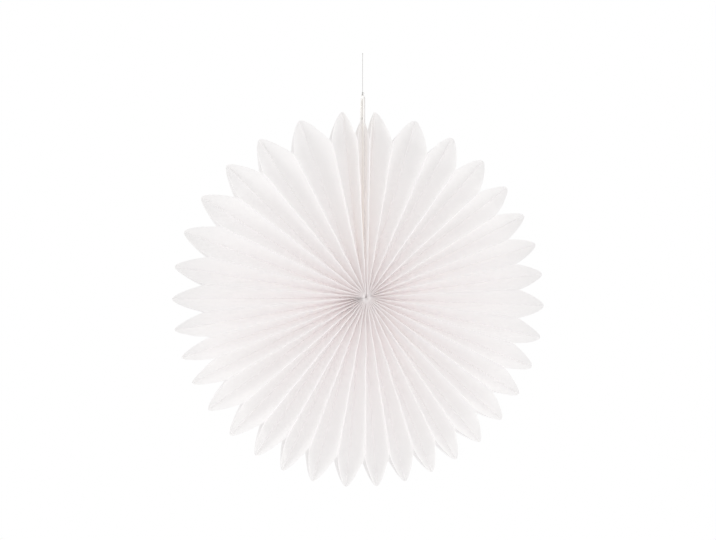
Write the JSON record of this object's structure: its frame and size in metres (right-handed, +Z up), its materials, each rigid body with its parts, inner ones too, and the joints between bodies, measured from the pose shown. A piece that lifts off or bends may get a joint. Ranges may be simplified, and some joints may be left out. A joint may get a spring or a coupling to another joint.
{
  "type": "hanging paper fan rosette",
  "caption": "White tissue paper fan opened to a flat round rosette with pointed petals, held open by a wire clip on its two cover cards and hung by a string.",
  "frame": {"origin": "top of the knot at the upper end of the hanging string, where the fan is hung from", "axes": "+Z up along the string, Y along the fan's axis with the pictured face towards -Y, +X to the viewer's right"},
  "size_m": [0.4001, 0.058, 0.4629],
  "materials": {
    "tissue_paper": "matte, thin and slightly see-through",
    "cover_card": "matte white board",
    "clip_wire": "plain bright wire",
    "string": "twisted white thread"
  },
  "bodies": {
    "root": {"cover_card_left": "cover_card", "cover_card_right": "cover_card", "end_leaf_left": "tissue_paper", "end_leaf_right": "tissue_paper", "hanging_string": "string", "hub_tie_ring": "string", "petal_01": "tissue_paper", "petal_02": "tissue_paper", "petal_03": "tissue_paper", "petal_04": "tissue_paper", "petal_05": "tissue_paper", "petal_06": "tissue_paper", "petal_07": "tissue_paper", "petal_08": "tissue_paper", "petal_09": "tissue_paper", "petal_10": "tissue_paper", "petal_11": "tissue_paper", "petal_12": "tissue_paper", "petal_13": "tissue_paper", "petal_14": "tissue_paper", "petal_15": "tissue_paper", "petal_16": "tissue_paper", "petal_17": "tissue_paper", "petal_18": "tissue_paper", "petal_19": "tissue_paper", "petal_20": "tissue_paper", "petal_21": "tissue_paper", "petal_22": "tissue_paper", "petal_23": "tissue_paper", "petal_24": "tissue_paper", "petal_25": "tissue_paper", "petal_26": "tissue_paper", "petal_27": "tissue_paper", "petal_28": "tissue_paper", "petal_29": "tissue_paper", "petal_30": "tissue_paper", "petal_31": "tissue_paper", "petal_32": "tissue_paper", "petal_33": "tissue_paper", "petal_34": "tissue_paper", "petal_35": "tissue_paper", "string_end_knot": "string", "string_knot": "string", "wire_clip": "clip_wire"}
  },
  "joints": []
}
